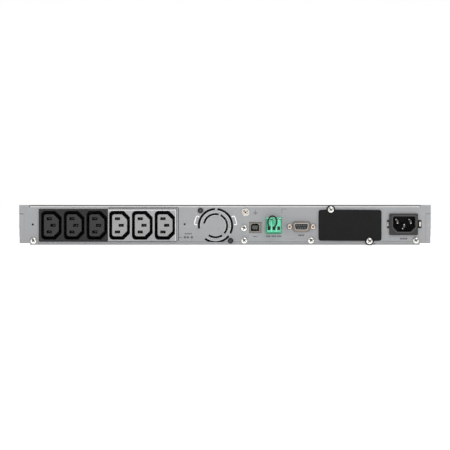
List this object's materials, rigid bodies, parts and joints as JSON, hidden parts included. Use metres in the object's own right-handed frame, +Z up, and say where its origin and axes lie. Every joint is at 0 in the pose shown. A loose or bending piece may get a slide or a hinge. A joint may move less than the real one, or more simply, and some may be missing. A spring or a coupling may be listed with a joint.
{
  "type": "rackmount ups",
  "caption": "Flat rack-mounted uninterruptible power supply with appliance outlets, a fan and data sockets behind, a display and a sliding battery drawer in front.",
  "frame": {"origin": "middle of the case's underside, half way between the socket panel and the bezel's face", "axes": "+Y from the socket panel to the front bezel, +Z up, +X to the right when facing the socket panel"},
  "size_m": [0.4826, 0.5222, 0.0432],
  "materials": {
    "painted_steel": "light grey powder coat, fine texture",
    "zinc_steel": "zinc plated sheet",
    "bright_metal": "bright nickel plate",
    "charcoal_plastic": "fine moulded grain",
    "pale_plastic": "fine moulded grain",
    "inlet_plastic": "satin",
    "black_plastic": "satin, fine grain",
    "black_steel": "textured black paint",
    "green_plastic": "semi gloss",
    "wire_sleeve": "smooth",
    "key_plastic": "semi gloss",
    "window_glass": "clear gloss over a dark display",
    "circuit_board": "solder mask",
    "winding": "varnished copper and laminations",
    "aluminium": "extruded",
    "capacitor_sleeve": "shrink sleeve",
    "battery_case": "moulded"
  },
  "bodies": {
    "case": {"ac_inlet": "inlet_plastic", "base_tray": "painted_steel", "bay_divider": "zinc_steel", "bulk_capacitor": "capacitor_sleeve", "card_cage": "zinc_steel", "display_board": "circuit_board", "display_window": "window_glass", "earth_screw": "bright_metal", "fan_frame": "black_plastic", "fan_screw_lower": "black_steel", "fan_screw_upper": "black_steel", "front_bezel": "black_plastic", "front_plate": "zinc_steel", "heatsink": "aluminium", "inlet_clip_left": "bright_metal", "inlet_clip_right": "bright_metal", "inlet_pin_earth": "bright_metal", "inlet_pin_line": "bright_metal", "inlet_pin_neutral": "bright_metal", "jack_post_left": "bright_metal", "jack_post_right": "bright_metal", "main_board": "circuit_board", "outlet_block_dark": "charcoal_plastic", "outlet_block_pale": "pale_plastic", "outlet_core_1": "charcoal_plastic", "outlet_core_2": "charcoal_plastic", "outlet_core_3": "charcoal_plastic", "outlet_core_4": "pale_plastic", "outlet_core_5": "pale_plastic", "outlet_core_6": "pale_plastic", "panel_screw_left": "bright_metal", "panel_screw_lower": "bright_metal", "panel_screw_middle": "bright_metal", "panel_screw_right": "bright_metal", "panel_screw_upper": "bright_metal", "rack_ear_left": "black_steel", "rack_ear_right": "black_steel", "rear_panel": "painted_steel", "serial_insert": "black_plastic", "serial_shell": "bright_metal", "slot_cover": "black_steel", "slot_screw_lower": "bright_metal", "slot_screw_upper": "bright_metal", "terminal_header": "green_plastic", "top_cover": "painted_steel", "transformer": "winding", "usb_shell": "bright_metal", "usb_tongue": "pale_plastic"},
    "battery_drawer": {"drawer_fascia": "black_plastic", "battery_tray": "zinc_steel", "battery_pack": "battery_case", "battery_connector": "black_plastic"},
    "fan_rotor": {"fan_rotor": "black_plastic"},
    "terminal_plug": {"terminal_plug": "green_plastic", "link_wire": "wire_sleeve"},
    "key_escape": {"key_escape": "key_plastic"},
    "key_down": {"key_down": "key_plastic"},
    "key_up": {"key_up": "key_plastic"},
    "key_enter": {"key_enter": "key_plastic"},
    "power_key": {"power_key": "key_plastic"}
  },
  "joints": [
    {"name": "fan_spin", "type": "hinge", "parent": "case", "child": "fan_rotor", "pos_m": [-0.0101, -0.243, 0.0212], "axis": [0, 1, 0], "continuous": true},
    {"name": "battery_drawer_slide", "type": "slide", "parent": "case", "child": "battery_drawer", "axis": [0, 1, 0], "range_m": [0, 0.3]},
    {"name": "terminal_plug_slide", "type": "slide", "parent": "case", "child": "terminal_plug", "axis": [0, -1, 0], "range_m": [0, 0.01]},
    {"name": "key_escape_press", "type": "slide", "parent": "case", "child": "key_escape", "axis": [0, -1, 0], "range_m": [0, 0.001], "stiffness_N_per_m": 400},
    {"name": "key_down_press", "type": "slide", "parent": "case", "child": "key_down", "axis": [0, -1, 0], "range_m": [0, 0.001], "stiffness_N_per_m": 400},
    {"name": "key_up_press", "type": "slide", "parent": "case", "child": "key_up", "axis": [0, -1, 0], "range_m": [0, 0.001], "stiffness_N_per_m": 400},
    {"name": "key_enter_press", "type": "slide", "parent": "case", "child": "key_enter", "axis": [0, -1, 0], "range_m": [0, 0.001], "stiffness_N_per_m": 400},
    {"name": "power_key_press", "type": "slide", "parent": "case", "child": "power_key", "axis": [0, -1, 0], "range_m": [0, 0.001], "stiffness_N_per_m": 400}
  ]
}
